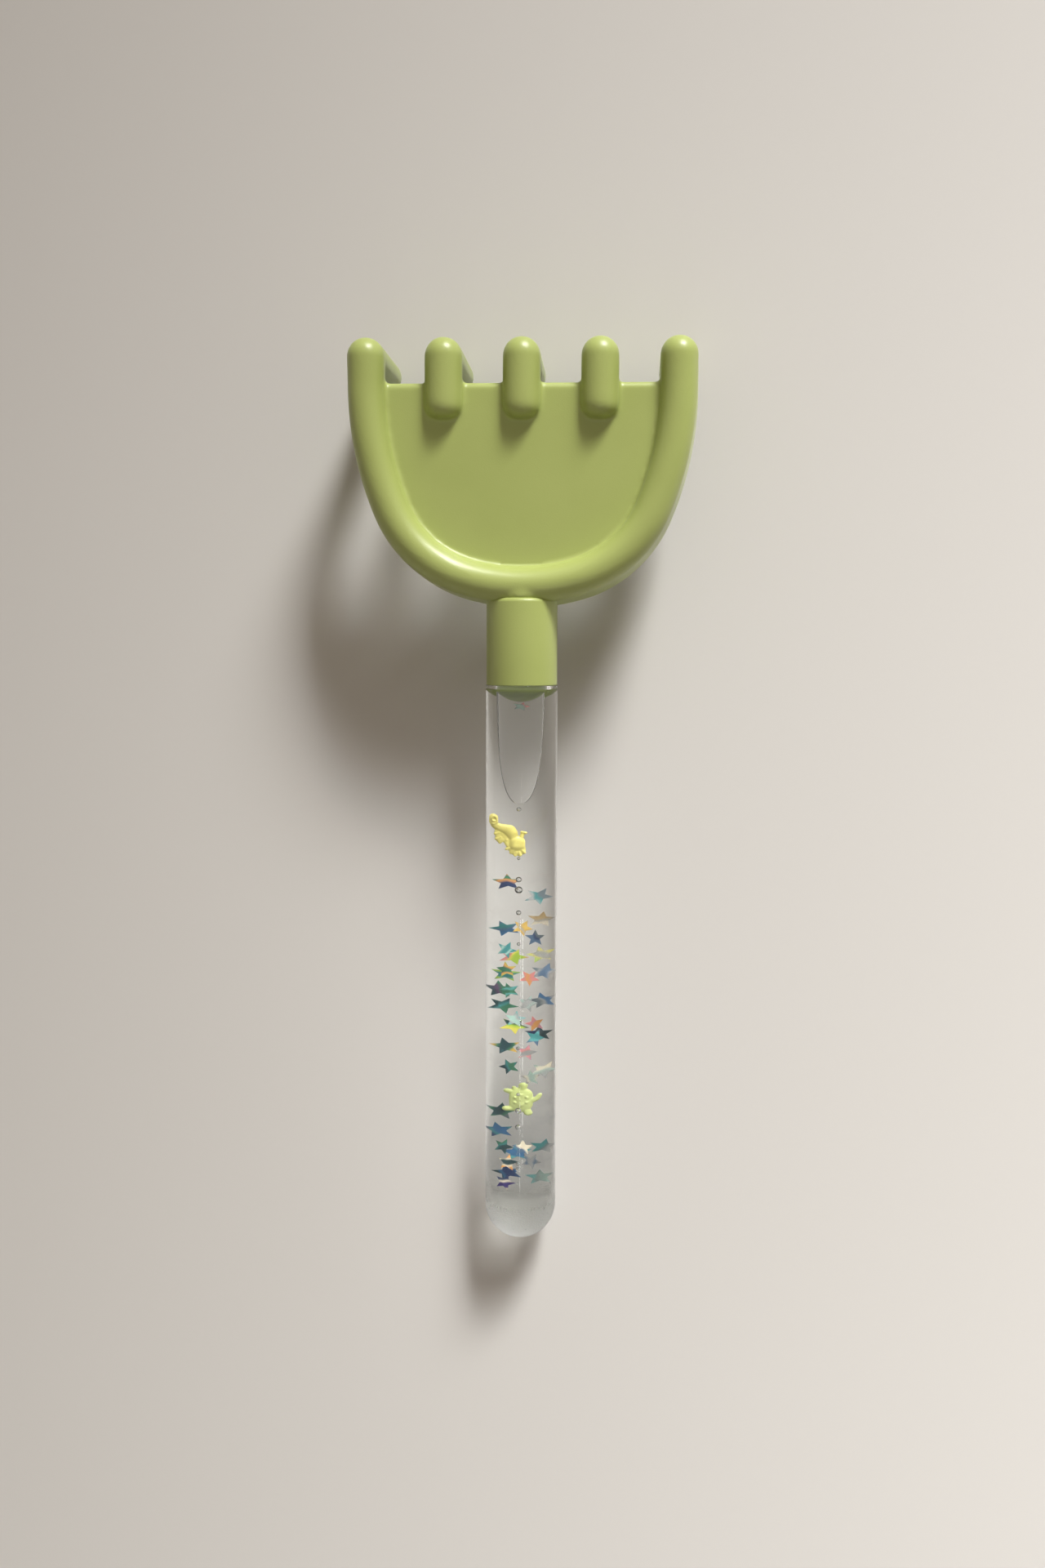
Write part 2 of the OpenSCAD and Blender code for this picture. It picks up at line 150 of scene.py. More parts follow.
def swept_channel():
    """The rim and skirt: a channel section (across outward, height) at each place of the rim's line,
    put at place + across (sin a, -cos a), with a half round on top and the skirt's two faces below."""
    places, facings = both_halves(*rim_line(26))
    turn = np.linspace(0, math.pi, 25)
    back, inner_r = turn[::-1], rim_r - wall
    outer = np.stack([-rim_r * np.cos(turn), rim_z + rim_r * np.sin(turn)], axis=-1)
    inner = np.stack([-inner_r * np.cos(back), rim_z + inner_r * np.sin(back)], axis=-1)
    foot = np.array([[rim_r + skirt_flare, skirt_foot_z], [rim_r + skirt_flare - wall, skirt_foot_z]])
    leg = np.array([[-rim_r, plate_top - plate_t]])
    section = np.concatenate([leg, outer, foot, inner, leg + [[wall, 0]]])
    flat = places[:, None, :] + section[None, :, :1] * from_down(facings)[:, None, :]
    height = np.broadcast_to(section[None, :, 1:], (len(places), len(section), 1))
    return np.concatenate([flat, height], axis=-1)


def plate_slab():
    """The plate: at each place of the rim's half line, a thin loop from the left side to the right on
    top and back below, x = w (2u - 1), drawn in to the middle of the rim's inner leg."""
    least_half, along_steps, across_steps = 0.2, 20, 20
    places, facings = rim_line(along_steps)
    edge = places - (rim_r - wall / 2) * from_down(facings)
    edge = edge[edge[:, 1] < front_y - bead_r]
    edge = np.concatenate([edge, [[edge[-1, 0], front_y - bead_r]]])
    share = np.linspace(-1, 1, across_steps)
    x = np.concatenate([share, share[::-1]])[None] * np.maximum(edge[:, :1], least_half)
    z = np.concatenate([np.full(across_steps, plate_top), np.full(across_steps, plate_top - plate_t)])
    return np.stack([x, np.broadcast_to(edge[:, 1:], x.shape), np.broadcast_to(z, x.shape)], axis=-1)


def capsule(start, end, r0, r1, around=40, cap=10, blunt=1.0):
    """A rod with round ends: rings of radius r(s) about the line from start to end. The ends follow
    offset r sin t, radius r cos t. A blunt power p under 1 makes the first end flatter: offset
    r (sin t)^p, radius r (cos t)^p."""
    start, end = np.array(start, float), np.array(end, float)
    line = (end - start) / np.linalg.norm(end - start)
    side = np.cross(line, [1.0, 0.0, 0.0] if abs(line[0]) < 0.9 else [0.0, 1.0, 0.0])
    side /= np.linalg.norm(side)
    other = np.cross(line, side)
    t = np.linspace(-math.pi / 2, 0, cap)
    radii = np.concatenate([r0 * np.abs(np.cos(t)) ** blunt, r1 * np.cos(t[::-1])])
    radii = np.maximum(radii, pole_r)
    first_end = start - np.outer(r0 * np.abs(np.sin(t)) ** blunt, line)
    centres = np.concatenate([first_end, end - np.outer(r1 * np.sin(t[::-1]), line)])
    a = np.linspace(0, 2 * math.pi, around, endpoint=False)
    spokes = np.cos(a)[:, None] * side + np.sin(a)[:, None] * other
    return centres[:, None, :] + radii[:, None, None] * spokes[None]


def rod(y0, y1, r, around=96):
    """A rod with flat ends along the tube's axis: (r cos a, y, r sin a) at both ends."""
    a = np.linspace(0, 2 * math.pi, around, endpoint=False)
    return np.stack([np.column_stack([r * np.cos(a), np.full(around, y), r * np.sin(a)]) for y in (y0, y1)])


def slab(x0, x1, outline):
    """A flat web: an outline of (y, z) points at x0 and again at x1."""
    outline = np.array(outline, float)
    return np.stack([np.column_stack([np.full(len(outline), x), outline]) for x in (x0, x1)])


def new_mesh(name, shells, smooth=True):
    """One mesh object in the row frame from shells, each (rings, faces)."""
    points, faces, start = [], [], 0
    for rings, shell_faces in shells:
        flat = rings.reshape(-1, 3)
        points.append(flat)
        faces += [[start + n for n in face] for face in shell_faces]
        start += len(flat)
    mesh = bpy.data.meshes.new(name)
    mesh.from_pydata(lay(np.concatenate(points)).tolist(), [], faces)
    mesh.polygons.foreach_set("use_smooth", [smooth] * len(mesh.polygons))
    piece = bpy.data.objects.new(name, mesh)
    bpy.context.scene.collection.objects.link(piece)
    return piece


def apply_modifiers(piece):
    """Puts the modifiers' result into the piece's own mesh, with smooth faces."""
    graph = bpy.context.evaluated_depsgraph_get()
    mesh = bpy.data.meshes.new_from_object(piece.evaluated_get(graph))
    piece.modifiers.clear()
    piece.data = mesh
    mesh.polygons.foreach_set("use_smooth", [True] * len(mesh.polygons))


def cast(piece, voxel, rounds):
    """Casts overlapping shells as one skin of even cells, and rounds its inner corners."""
    remesh = piece.modifiers.new("one_skin", "REMESH")
    remesh.mode = "VOXEL"
    remesh.voxel_size = voxel
    remesh.use_smooth_shade = True
    soften = piece.modifiers.new("soft_corners", "SMOOTH")
    soften.factor = 0.5
    soften.iterations = rounds
    apply_modifiers(piece)


under = plate_top - plate_t
rib_top, rib_foot = under + plate_t / 2, under - rib_drop
tip_z = rim_z - (tine_len - tip_r)
lip_y, lip_z = front_y - bead_r, plate_top - bead_r


def rib_side(y0, y1):
    """A rib seen from its side: y0 to y1 toward the tines, and the plate's middle down to the rib's foot."""
    return [[y0, rib_top], [y0, rib_foot], [y1, rib_foot], [y1, rib_top]]


head_rings = [
    swept_channel(),
    plate_slab(),
    capsule([-side_x, lip_y, lip_z], [side_x, lip_y, lip_z], bead_r, bead_r),
    slab(-wall / 2, wall / 2, rib_side(rim_y, cross_rib_y)),
    slab(-side_x, side_x, rib_side(cross_rib_y, cross_rib_y + wall)),
]
for x in tine_xs:
    outer = abs(x) > side_x - tine_r
    back_y = front_y if outer else front_y - root_len
    root_r, blunt = (rim_r, 1.0) if outer else (tine_r, 0.75)
    head_rings.append(capsule([x, back_y, rim_z], [x, tine_y, rim_z], root_r, tine_r, blunt=blunt))
    head_rings.append(capsule([x, tine_y, rim_z], [x, tine_y, tip_z], tine_r, tip_r))
    if not outer:
        head_rings.append(slab(x - wall / 2, x + wall / 2, [
            [cross_rib_y, rib_top], [cross_rib_y, rib_foot], [tine_y - tine_r / 2, gusset_foot_z],
            [tine_y, gusset_foot_z], [tine_y, rib_top]]))
head_rings.append(rod(collar_len + boss_gap, rim_y - boss_sink, boss_r))
head_rings.append(rod(neck_len + plug_flange, rim_y - spigot_sink, spigot_r))
head = new_mesh("head_moulding", [(rings, skin(rings)) for rings in head_rings])
cast(head, skin_voxel, skin_rounds)
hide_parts("rake_head")
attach(head, "rake")


# Finishes are built from shader nodes. A node's output can be added to and multiplied like a number,
# so a formula reads as it is written. These are the outputs of the nodes that have several.
GENERATED, OBJECT = 0, 3
CAMERA_RAY, SHADOW_RAY, GLOSSY_RAY, TRANSMISSION_RAY = 0, 1, 3, 6
DOT, MIXED_COLOUR, HEIGHT = 1, 2, 2


class Wire:
    """A number in a shader. Arithmetic on it adds Math nodes, so a formula reads as it is written."""

    def __init__(self, tree, socket):
        self.tree = tree
        self.socket = socket

    def math(self, operation, *terms):
        """A Math node of that operation on the terms."""
        node = self.tree.nodes.new("ShaderNodeMath")
        node.operation = operation
        for socket, term in zip(node.inputs, terms):
            if isinstance(term, Wire):
                self.tree.links.new(term.socket, socket)
            else:
                socket.default_value = term
        return Wire(self.tree, node.outputs[0])

    def __add__(self, other):
        return self.math("ADD", self, other)

    __radd__ = __add__

    def __rsub__(self, other):
        return self.math("SUBTRACT", other, self)

    def __mul__(self, other):
        return self.math("MULTIPLY", self, other)

    __rmul__ = __mul__


class Shading:
    """A node tree that nodes are added to."""

    def __init__(self, tree):
        self.tree = tree

    def node(self, kind, settings=None, output=0, **sockets):
        """Adds a node: first its settings, then the values or wires of its sockets."""
        node = self.tree.nodes.new("ShaderNode" + kind)
        for key, value in (settings or {}).items():
            if key == "stops":
                ramp = node.color_ramp
                for place, colour in value[:-2]:
                    ramp.elements.new(place)
                for element, (place, colour) in zip(ramp.elements, value):
                    element.position = place
                    element.color = (*colour, 1.0)
            else:
                setattr(node, key, value)
        for key, value in sockets.items():
            socket = next(s for s in node.inputs if key in (s.identifier, s.name.replace(" ", "_")))
            if isinstance(value, Wire):
                self.tree.links.new(value.socket, socket)
            else:
                socket.default_value = value
        return Wire(self.tree, node.outputs[output])


class Finish(Shading):
    """A material with one Principled shader. Its constants are set on the shader's own sockets."""

    def __init__(self, name, **constants):
        self.material = bpy.data.materials.new(name)
        self.material.use_nodes = True
        super().__init__(self.material.node_tree)
        self.shader = self.tree.nodes["Principled BSDF"]
        for socket, value in constants.items():
            self.shader.inputs[socket.replace("_", " ")].default_value = value

    def places(self):
        """The piece's own coordinates, in metres."""
        return self.node("TexCoord", output=OBJECT)

    def along(self, x, y, z):
        """Distance of a place along a direction, in metres."""
        return self.node("VectorMath", {"operation": "DOT_PRODUCT"}, output=DOT,
                         Vector=self.places(), Vector_001=(x, y, z))

    def noise(self, cells_per_mm, detail=2.0):
        """Soft random values from 0 to 1, with so many cells in a millimetre."""
        return self.node("TexNoise", Vector=self.places(), Scale=cells_per_mm / MM, Detail=detail)

    def feed(self, socket, wire):
        """Lets a wire drive one of the shader's sockets."""
        self.tree.links.new(wire.socket, self.shader.inputs[socket])

    def grain(self, height_mm, cells_per_mm, detail=2.0):
        """Bumps the surface by so many millimetres of noise."""
        bump = self.node("Bump", Height=self.noise(cells_per_mm, detail), Distance=height_mm * MM,
                         Strength=1.0)
        self.feed("Normal", bump)


def moulded_plastic(name, base, deep, roughness, grain_mm=0.03):
    """Plastic from a fine-etched mould: slow colour drift, uneven gloss and a fine grain."""
    finish = Finish(name, IOR=1.55, Sheen_Weight=0.12, Sheen_Roughness=0.35,
                    Sheen_Tint=(0.95, 1.0, 0.80, 1.0))
    drift_cells, gloss_cells, grain_cells, gloss_spread = 0.05, 0.9, 3.2, 0.10
    drift = finish.noise(drift_cells, 3.0)
    colour = finish.node("ValToRGB", {"stops": [(0.30, deep), (0.75, base)]}, Fac=drift)
    finish.feed("Base Color", colour)
    finish.feed("Roughness", roughness + gloss_spread * finish.noise(gloss_cells, 3.0))
    finish.grain(grain_mm, grain_cells)
    return finish.material


green = moulded_plastic("green_moulding", (0.425, 0.492, 0.148), (0.398, 0.462, 0.133), 0.32)
head.data.materials.append(green)


# The collar is a sleeve of the same green plastic. It covers the glued joint between the head's spigot
# and the tube's neck, and both its outer edges are rounded.
collar_r = 10.3
collar_wall = 1.5
collar_round = 1.2
collar_edge = 0.3


def quarter(centre_r, centre_y, r, start, end, steps=9):
    """Points of a quarter round in the (radius, along) plane: centre + r (cos t, sin t)."""
    t = np.radians(np.linspace(start, end, steps))
    return np.column_stack([centre_r + r * np.cos(t), centre_y + r * np.sin(t)])


def turned(profile, around=128, closed=True):
    """Turns a profile of (radius, along) points about the tube's axis: (r cos a, along, r sin a).
    A closed profile gives a ring-shaped solid, and an open one runs from pole to pole."""
    profile = np.asarray(profile, float)
    a = np.linspace(0, 2 * math.pi, around, endpoint=False)
    rings = np.stack([profile[:, :1] * np.cos(a), np.repeat(profile[:, 1:], around, axis=1),
                      profile[:, :1] * np.sin(a)], axis=-1)
    faces = skin(rings, closed_ends=not closed)
    if closed:
        last = (len(profile) - 1) * around
        faces += [[last + n, n, (n + 1) % around, last + (n + 1) % around] for n in range(around)]
    return rings, faces


collar_profile = np.concatenate([
    [[collar_r - collar_wall, 0.0]],
    quarter(collar_r - collar_edge, collar_edge, collar_edge, -90, 0),
    quarter(collar_r - collar_round, collar_len - collar_round, collar_round, 0, 90),
    [[collar_r - collar_wall, collar_len]],
])
collar = new_mesh("collar_sleeve", [turned(collar_profile)])
collar.data.materials.append(green)
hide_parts("collar")
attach(collar, "rake")


# The plug closes the tube's mouth under the collar. It is a softer green plastic, with sealing ribs that
# press on the bore, a flange on the tube's mouth, and a domed face toward the liquid. Its green is darker
# than the head's: painted shade, for the shade that it lies in under the collar.
tube_wall = 3.1
bore_r = tube_r - tube_wall
plug_depth = 1.1
plug_dome = 3.7
rib_w, rib_h = 1.4, 0.3
dome_r = (bore_r ** 2 + plug_dome ** 2) / (2 * plug_dome)
rib_slope = 0.1
plug_fit = 0.05
glue_gap = 0.05
seat_gap = 0.02
neck_r = collar_r - collar_wall - glue_gap


def dome_y(r):
    """Place along the tube of the plug's dome at a radius: c - sqrt(R^2 - r^2)."""
    return dome_r - plug_depth - plug_dome - np.sqrt(dome_r ** 2 - r ** 2)


def plug_profile():
    """From the dome's pole along its face, then over the ribs and round the flange."""
    face_r = bore_r - plug_fit
    r = np.linspace(pole_r, face_r, 20)
    dome = np.column_stack([r, dome_y(r)])
    step = (neck_len + plug_depth - rib_w) / 3
    ribs = []
    for i in range(4):
        low = i * step - plug_depth
        ribs += [[face_r, low + seat_gap], [face_r, low + rib_w - rib_slope], [bore_r - rib_h, low + rib_w]]
        if i < 3:
            ribs.append([bore_r - rib_h, low + step - rib_slope])
    flange_r, flange_top = neck_r - plug_fit, neck_len + plug_flange
    flange = [[flange_r, neck_len + seat_gap], [flange_r, flange_top], [pole_r, flange_top]]
    return np.concatenate([dome, ribs, flange])


plug = new_mesh("tube_stopper", [turned(plug_profile(), closed=False)])
# Its base colours are darker than the head's green: painted shade for the shade under the collar.
plug_green_painted_shade = moulded_plastic("plug_plastic", (0.33, 0.40, 0.10), (0.28, 0.34, 0.08), 0.30, 0.01)
plug.data.materials.append(plug_green_painted_shade)
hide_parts("tube_plug")
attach(plug, "rake")


# The handle is a thick tube of clear acrylic, with a solid round end that is finely blasted and a neck
# that is glued into the collar. Where liquid wets the bore the two refract alike and the wall can't be
# seen. Round the plug, where air lies against it, the wall glints.
tube_len = 166.0
end_solid = 14.0
bore_end = -(tube_len - end_solid)
bore_fillet = 1.0
shoulder_round, shoulder_step = 0.15, 0.2
shoulder_middle, shoulder_top = -0.10, 0.05
mouth_edge = 0.1
wall_stop = 1.0
acrylic_ior = 1.49
# The second tint, for the blasted end, is grey: painted shade that darkens the solid end.
clear_tint, blasted_end_painted_shade = (0.985, 0.995, 0.985), (0.80, 0.81, 0.78)
blast_and_painted_shade_fade = 4.0
blast_rough, blast_patches = 0.22, 0.18
blast_ripple = 0.22
shade_from, shade_to = 45.0, 5.0
tube_lets_through, end_lets_through = 0.80, 0.05


def tube_profile():
    """From the round end's pole along the outside to the neck, over the mouth, down the bore and its
    fillet to the pole of the bore's bottom."""
    end_c, wall_steps = -(tube_len - tube_r), 40
    bore_ys = np.concatenate([np.linspace(neck_len - mouth_edge, 0, 12, endpoint=False),
                              np.linspace(0, -plug_depth, 8, endpoint=False),
                              np.linspace(-plug_depth, bore_end + bore_fillet + wall_stop, 60)])
    return np.concatenate([
        quarter(0.0, end_c, tube_r, -89.9, -2, wall_steps),
        np.column_stack([np.full(wall_steps, tube_r), np.linspace(end_c, -wall_stop, wall_steps)]),
        quarter(tube_r - shoulder_round, shoulder_middle, shoulder_round, 0, 90, 4),
        [[tube_r - shoulder_step, shoulder_top], [neck_r, shoulder_top], [neck_r, neck_len - mouth_edge],
         [neck_r - mouth_edge, neck_len], [bore_r + mouth_edge, neck_len]],
        np.column_stack([np.full(len(bore_ys), bore_r), bore_ys]),
        quarter(bore_r - bore_fillet, bore_end + bore_fillet, bore_fillet, 0, -90),
        [[pole_r, bore_end]],
    ])


def face_middles(rings):
    """Middle of each quad between neighbouring rings, in the order of skin()."""
    across = np.roll(rings, -1, axis=1)
    return ((rings[:-1] + rings[1:] + across[:-1] + across[1:]) / 4).reshape(-1, 3)


def clear_finish(name, ior, tint, roughness):
    """A clear material that bends light by its refractive index."""
    return Finish(name, IOR=ior, Base_Color=(*tint, 1.0), Transmission_Weight=1.0, Roughness=roughness)


tube_rings, tube_faces = turned(tube_profile(), 160, closed=False)
tube = new_mesh("clear_tube", [(tube_rings, tube_faces)])
middles = face_middles(tube_rings)
wall_reach, end_reach = 0.01, 0.1
in_bore = np.hypot(middles[:, 0], middles[:, 2]) < bore_r + wall_reach
wetted = in_bore & (middles[:, 1] > bore_end - end_reach) & (middles[:, 1] < -plug_depth)
acrylic = clear_finish("clear_acrylic", acrylic_ior, clear_tint, 0.0)
bore_end_along = float(collar_joint @ toward_head) + bore_end * MM
# A mask toward the solid end: it roughens and bumps the blasted surface, and greys its colour as painted
# shade.
blast_and_painted_shade = acrylic.node("MapRange", {"interpolation_type": "SMOOTHSTEP"},
                          Value=acrylic.along(*toward_head), From_Min=bore_end_along + blast_and_painted_shade_fade * MM,
                          From_Max=bore_end_along - blast_and_painted_shade_fade * MM, To_Min=0.0, To_Max=1.0)
acrylic.feed("Roughness", blast_and_painted_shade * (blast_rough + blast_patches * acrylic.noise(1.2, 3.0)))
ripple = acrylic.node("Bump", Height=blast_and_painted_shade * acrylic.noise(2.4, 4.0), Distance=blast_ripple * MM,
                      Strength=1.0)
acrylic.feed("Normal", ripple)
# Toward the blasted end the base colour turns grey: painted shade that darkens the solid end.
painted_shade_colour = acrylic.node("ValToRGB", {"stops": [(0.0, clear_tint), (1.0, blasted_end_painted_shade)]}, Fac=blast_and_painted_shade)
acrylic.feed("Base Color", painted_shade_colour)
# How much light its shadow lets through: most of it along the tube, and little at the solid end.
lets_through = acrylic.node("MapRange", Value=acrylic.along(*toward_head),
                            From_Min=bore_end_along + shade_from * MM,
                            From_Max=bore_end_along + shade_to * MM,
                            To_Min=tube_lets_through, To_Max=end_lets_through)
acrylic.feed("Alpha", 1.0 - acrylic.node("LightPath", output=SHADOW_RAY) * lets_through)
wet_wall = Finish("wet_wall", Alpha=0.0, Roughness=0.0, IOR=1.0)
for finish in (acrylic, wet_wall):
    tube.data.materials.append(finish.material)
index = np.zeros(len(tube.data.polygons), int)
index[:len(wetted)] = wetted
tube.data.polygons.foreach_set("material_index", index)
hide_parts("handle_tube")
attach(tube, "rake")


# The liquid fills the bore up to one long bubble of air at the plug and small round ones that cling to
# the top of the bore. The liquid's outside wets the wall, so only its air surfaces can be seen.
liquid_ior = 1.47
liquid_gap = 0.01
wall_film = 0.05
rim_gap = 0.1
dome_gap = 0.02
air_nose, air_depth, air_taper = 32.7, 3.2, 11.5
air_gap, nose_lead = 0.35, 0.5
air_corner = 0.45
end_round = 0.40  # less than the corner, or the bubble's end folds inside out
dome_reach = 6.0
bead_across, bead_gap = -0.2, 0.06
air_lets_through = 0.80
bead_shares = [(0.229, 0.62), (0.324, 0.42), (0.3655, 0.80), (0.3857, 1.05), (0.430, 0.70), (0.491, 0.48),
               (0.697, 0.55), (0.789, 0.45), (0.8216, 0.80), (0.8552, 0.80), (0.928, 0.64), (0.9395, 0.62),
               (0.9675, 0.30)]


def liquid_profile():
    """From the pole at the plug's dome along the dome, the bore and its fillet to the far pole."""
    wall_steps = 30
    r = np.linspace(pole_r, bore_r - rim_gap, 16)
    return np.concatenate([
        np.column_stack([r, dome_y(r) - dome_gap]),
        np.column_stack([np.full(wall_steps, bore_r - liquid_gap),
                         np.linspace(-plug_depth - plug_fit, bore_end + bore_fillet, wall_steps)]),
        quarter(bore_r - bore_fillet, bore_end + bore_fillet, bore_fillet - liquid_gap, 0, -90),
        [[pole_r, bore_end + liquid_gap]],
    ])


def air_rings(steps=70, end_steps=9, corner=9, span=31):
    """The long bubble, ring by ring from the plug. Across the tube it is an arc of the bore's circle over
    a level floor, joined by corners of radius q at half width w - q. With s the distance from its nose,
    w = sqrt(R^2 - (R - D)^2) and D = depth (1 - exp(-(s + lead) / taper)). Its end at the plug is drawn in
    by a quarter round, and follows the plug's dome."""
    last_share, least_gap, least_step, corner_share = 0.0003, 0.002, 0.02, 0.85
    big_r = bore_r - liquid_gap - wall_film
    turn = np.linspace(math.pi / 2, 0, end_steps)
    start = -plug_depth - air_gap
    behind = air_nose * np.linspace(1, last_share, steps) ** 2
    y = np.concatenate([start - end_round * (1 - np.sin(turn)), -plug_depth - air_nose + behind[1:]])
    y[end_steps:] = np.minimum(y[end_steps:], start - end_round - least_step * np.arange(1, steps))
    inset = np.concatenate([end_round * (1 - np.cos(turn)), np.zeros(steps - 1)])[:, None]
    nose_gap = np.maximum(y + plug_depth + air_nose, least_gap)
    level = air_depth * (1 - np.exp(-(nose_gap + nose_lead) / air_taper))
    half = np.sqrt(big_r ** 2 - (big_r - level) ** 2)[:, None]
    q = np.minimum(air_corner, corner_share * half)
    side_x = half - q
    side_z = np.sqrt((big_r - q) ** 2 - side_x ** 2)
    lean = np.arcsin(side_x / (big_r - q))
    part = (np.arange(corner) + 0.5) / corner
    upper = math.pi / 2 - (math.pi / 2 - lean) * part
    over = lean * np.linspace(1, -1, span)
    lower = math.pi - math.pi / 2 * part
    right = [side_x + (q - inset) * np.sin(upper), side_z + (q - inset) * np.cos(upper)]
    top = [(big_r - inset) * np.sin(over), (big_r - inset) * np.cos(over)]
    floor_x = side_x * np.linspace(-1, 1, span)
    foot = [side_x + (q - inset) * np.sin(lower), side_z + (q - inset) * np.cos(lower)]
    x = np.concatenate([right[0], top[0], -right[0][:, ::-1], -foot[0][:, ::-1], floor_x, foot[0]], axis=1)
    z = np.concatenate([right[1], top[1], right[1][:, ::-1], foot[1][:, ::-1],
                        np.broadcast_to(side_z - q + inset, floor_x.shape), foot[1]], axis=1)
    near = np.clip(1 - (start - y) / dome_reach, 0, 1)
    follow = (near ** 2 * (3 - 2 * near))[:, None]
    y = y[:, None] + follow * (dome_y(np.hypot(x, z)) + plug_depth)
    return np.stack([x, y, z], axis=-1)


def zipped(rings):
    """Faces of the bubble: quads between rings, and each end closed by strips from top to bottom."""
    count, size = rings.shape[:2]
    faces = skin(rings, closed_ends=False)
    last = (count - 1) * size
    for i in range(size // 2 - 1):
        faces.append([i, i + 1, size - 2 - i, size - 1 - i])
        faces.append([last + size - 1 - i, last + size - 2 - i, last + i + 1, last + i])
    return faces


def bore_place(share):
    """Place along the tube at a share of the wet bore's length, from the plug to the bore's bottom."""
    return -plug_depth - share * (-bore_end - plug_depth)


def bubble(share, r, around=24):
    """A ball of air at a share of the bore's length, against the top of the bore, turned inside out
    because its faces are the liquid's: centre + r (cos b cos a, sin b, cos b sin a)."""
    b = np.linspace(-0.49 * math.pi, 0.49 * math.pi, 15)
    a = np.linspace(0, 2 * math.pi, around, endpoint=False)
    centre = [bead_across, bore_place(share), bore_r - r - bead_gap]
    ball = np.stack([np.outer(np.cos(b), np.cos(a)), np.repeat(np.sin(b)[:, None], around, 1),
                     np.outer(np.cos(b), np.sin(a))], axis=-1)
    rings = centre + r * ball
    return rings, [face[::-1] for face in skin(rings)]


body = turned(liquid_profile(), 96, closed=False)
air = air_rings()
shells = [body, (air, zipped(air))] + [bubble(share, r) for share, r in bead_shares]
liquid = new_mesh("clear_liquid", shells)
wet_skin = Finish("wet_skin", Alpha=0.0, Roughness=0.0, IOR=1.0)
liquid_skin = clear_finish("liquid_surface", liquid_ior, (1.0, 1.0, 1.0), 0.0)
liquid_skin.feed("Alpha", 1.0 - air_lets_through * liquid_skin.node("LightPath", output=SHADOW_RAY))
for finish in (wet_skin, liquid_skin):
    liquid.data.materials.append(finish.material)
index = np.ones(len(liquid.data.polygons), int)
index[:len(body[1])] = 0
liquid.data.polygons.foreach_set("material_index", index)
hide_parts("liquid")
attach(liquid, "rake")


# The seahorse is a small moulded figure of yellow plastic that floats head down: a curled tail, a plump
# body with a ridged fin on its back, a round head with a snout, and a crown. It is slim across the tube,
# because the tube's lens widens it.
toy_voxel, toy_rounds = 0.13 * MM, 3
rod_lean = 0.01
lane_up = 1.2
curl_squeeze, curl_end = 0.75, 0.35
seahorse_across, seahorse_share = -0.32, 0.287
seahorse_at = (seahorse_across * bore_r, bore_place(seahorse_share), lane_up)


def flattened(rings, half):
    """A shell pressed to lie within half a thickness of its middle."""
    return rings * [1.0, 1.0, half / max(abs(rings[..., 2]).max(), 1e-6)]


def figure(name, rods, at):
    """A figure cast from rods, each (start x, y, end x, y, start radius, end radius, half thickness)."""
    shells = []
    for x0, y0, x1, y1, r0, r1, half in rods:
        rings = capsule([x0, y0, 0], [x1 + rod_lean, y1, 0], r0, r1, around=24, cap=8)
        shells.append(flattened(rings, half) + np.array(at))
    piece = new_mesh(name, [(rings, skin(rings)) for rings in shells])
    cast(piece, toy_voxel, toy_rounds)
    return piece


def curl(centre_x, centre_y, r, start, end, thick0, thick1, half, steps=10):
    """Rods along a squeezed spiral: centre + r(t) (squeeze cos t, sin t). Both radii shrink to its end."""
    t = np.radians(np.linspace(start, end, steps + 1))
    radius = r * np.linspace(1.0, curl_end, steps + 1)
    thick = np.linspace(thick0, thick1, steps + 1)
    x, y = centre_x + curl_squeeze * radius * np.cos(t), centre_y + radius * np.sin(t)
    return [(x[i], y[i], x[i + 1], y[i + 1], thick[i], thick[i + 1], half) for i in range(steps)]


seahorse_rods = [
    (-3.75, 4.7, -3.75, 5.6, 1.30, 1.30, 0.50),
    (-3.5, 3.7, -2.4, 3.0, 1.00, 1.10, 0.75),
    (-2.4, 3.0, -1.2, 2.6, 1.10, 1.35, 0.85),
    (-1.2, 2.6, -0.2, 2.2, 1.35, 1.55, 0.95),
    (-0.2, 2.2, 0.3, 1.4, 1.55, 1.45, 1.00),
    (0.3, 1.4, 0.7, 0.2, 1.45, 1.15, 0.90),
    (1.55, -1.25, 1.55, -2.25, 1.75, 1.75, 1.05),
    (1.55, -3.2, 1.60, -3.5, 1.85, 1.85, 0.50),
    (2.3, -0.5, 2.7, 1.1, 0.55, 0.45, 0.60),
    (2.6, 1.6, 3.3, 1.4, 0.40, 0.42, 0.60),
    (-2.5, 1.6, -2.1, -0.6, 0.95, 1.00, 0.40),
    (-1.6, 1.2, -0.6, -0.6, 1.20, 1.10, 0.40),
    (-0.4, -1.6, 0.3, -2.9, 0.75, 0.85, 0.45),
    (-3.2, 1.0, -2.3, 1.4, 0.40, 0.50, 0.50),
    (-3.0, -0.5, -2.0, 0.0, 0.40, 0.50, 0.50),
    (-2.1, -1.6, -1.6, -0.8, 0.40, 0.50, 0.50),
    (-0.9, -1.4, -0.6, -0.8, 0.40, 0.50, 0.50),
    (-0.6, -3.4, 0.2, -3.0, 0.40, 0.50, 0.50),
    (0.3, -4.5, 0.8, -3.7, 0.40, 0.50, 0.55),
    (1.2, -5.2, 1.4, -4.2, 0.40, 0.50, 0.55),
    (2.2, -5.2, 2.0, -4.2, 0.40, 0.50, 0.55),
    (3.1, -4.4, 2.6, -3.7, 0.40, 0.50, 0.55),
] + curl(-3.75, 5.2, 1.35, -110, 300, 0.42, 0.34, 0.85, 14)
seahorse = figure("seahorse_figure", seahorse_rods, seahorse_at)
